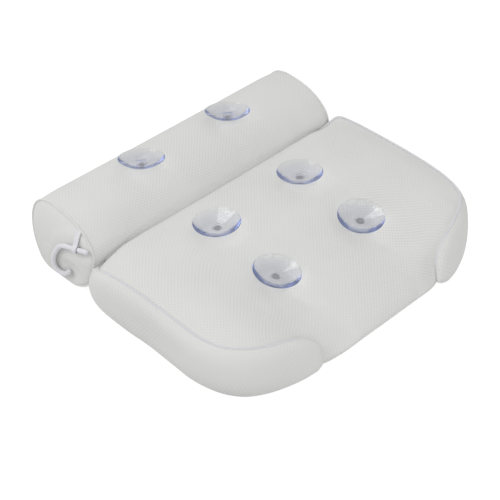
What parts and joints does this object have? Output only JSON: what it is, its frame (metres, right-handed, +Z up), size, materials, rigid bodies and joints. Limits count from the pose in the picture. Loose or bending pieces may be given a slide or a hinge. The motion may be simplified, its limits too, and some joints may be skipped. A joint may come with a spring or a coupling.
{
  "type": "bath pillow",
  "caption": "White mesh bath pillow: a crowned main cushion with piped side gussets, folded along a crease to a headrest roll, with clear suction cups on its back and a small hanging hook.",
  "frame": {"origin": "middle of the footprint, on the surface the pillow lies on", "axes": "+Z up, out of the back that carries the suction cups; +Y from the main section to the roll; +X along the crease, with the hook at the -X end"},
  "size_m": [0.386, 0.3444, 0.0879],
  "materials": {
    "mesh_fabric": "white open-weave air mesh, matt",
    "cord_fabric": "white woven binding over cord, slight sheen",
    "ring_fabric": "white stiffened backing patch",
    "filling": "white polyester fibre",
    "clear_pvc": "clear soft PVC, glossy",
    "hook_plastic": "white moulded plastic, satin"
  },
  "bodies": {
    "main": {"main_filling": "filling", "main_back_cover": "mesh_fabric", "main_front_cover": "mesh_fabric", "main_left_gusset": "mesh_fabric", "main_right_gusset": "mesh_fabric", "main_left_piping": "cord_fabric", "main_right_piping": "cord_fabric", "hinge_web": "mesh_fabric", "cup_ring_upper_left": "ring_fabric", "cup_ring_upper_right": "ring_fabric", "cup_ring_lower_left": "ring_fabric", "cup_ring_lower_right": "ring_fabric"},
    "roll": {"roll_filling": "filling", "roll_cover": "mesh_fabric", "roll_left_end_panel": "mesh_fabric", "roll_right_end_panel": "mesh_fabric", "roll_left_piping": "cord_fabric", "roll_right_piping": "cord_fabric", "cup_ring_roll_left": "ring_fabric", "cup_ring_roll_right": "ring_fabric"},
    "cup_roll_left": {"suction_cup_roll_left": "clear_pvc"},
    "cup_roll_right": {"suction_cup_roll_right": "clear_pvc"},
    "cup_upper_left": {"suction_cup_upper_left": "clear_pvc"},
    "cup_upper_right": {"suction_cup_upper_right": "clear_pvc"},
    "cup_lower_left": {"suction_cup_lower_left": "clear_pvc"},
    "cup_lower_right": {"suction_cup_lower_right": "clear_pvc"},
    "hook_tape": {"hook_tape": "cord_fabric"},
    "hanging_hook": {"hanging_hook": "hook_plastic"}
  },
  "joints": [
    {"name": "roll_fold", "type": "hinge", "parent": "main", "child": "roll", "pos_m": [0, 0.07374, 0.033], "axis": [1, 0, 0], "range_deg": [-40, 55], "deforming": ["hinge_web"]},
    {"name": "cup_slide_roll_left", "type": "slide", "parent": "roll", "child": "cup_roll_left", "axis": [0, 0.0698, 0.9976], "range_m": [0, 0.0025]},
    {"name": "cup_slide_roll_right", "type": "slide", "parent": "roll", "child": "cup_roll_right", "axis": [0, 0.0698, 0.9976], "range_m": [0, 0.0025]},
    {"name": "cup_slide_upper_left", "type": "slide", "parent": "main", "child": "cup_upper_left", "axis": [-0.0349, 0.0523, 0.998], "range_m": [0, 0.0025]},
    {"name": "cup_slide_upper_right", "type": "slide", "parent": "main", "child": "cup_upper_right", "axis": [0.0349, 0.0523, 0.998], "range_m": [0, 0.0025]},
    {"name": "cup_slide_lower_left", "type": "slide", "parent": "main", "child": "cup_lower_left", "axis": [0.0698, -0.1564, 0.9852], "range_m": [0, 0.0025]},
    {"name": "cup_slide_lower_right", "type": "slide", "parent": "main", "child": "cup_lower_right", "axis": [-0.0698, -0.1564, 0.9852], "range_m": [0, 0.0025]},
    {"name": "tape_flex", "type": "hinge", "parent": "roll", "child": "hook_tape", "pos_m": [-0.1782, 0.09431, 0.06758], "axis": [-0.2231, 0.9663, -0.1288], "range_deg": [0, 90]},
    {"name": "hook_swing", "type": "hinge", "parent": "hook_tape", "child": "hanging_hook", "pos_m": [-0.18322, 0.09117, 0.0527], "axis": [-0.2231, 0.9663, -0.1288], "range_deg": [0, 140]}
  ]
}
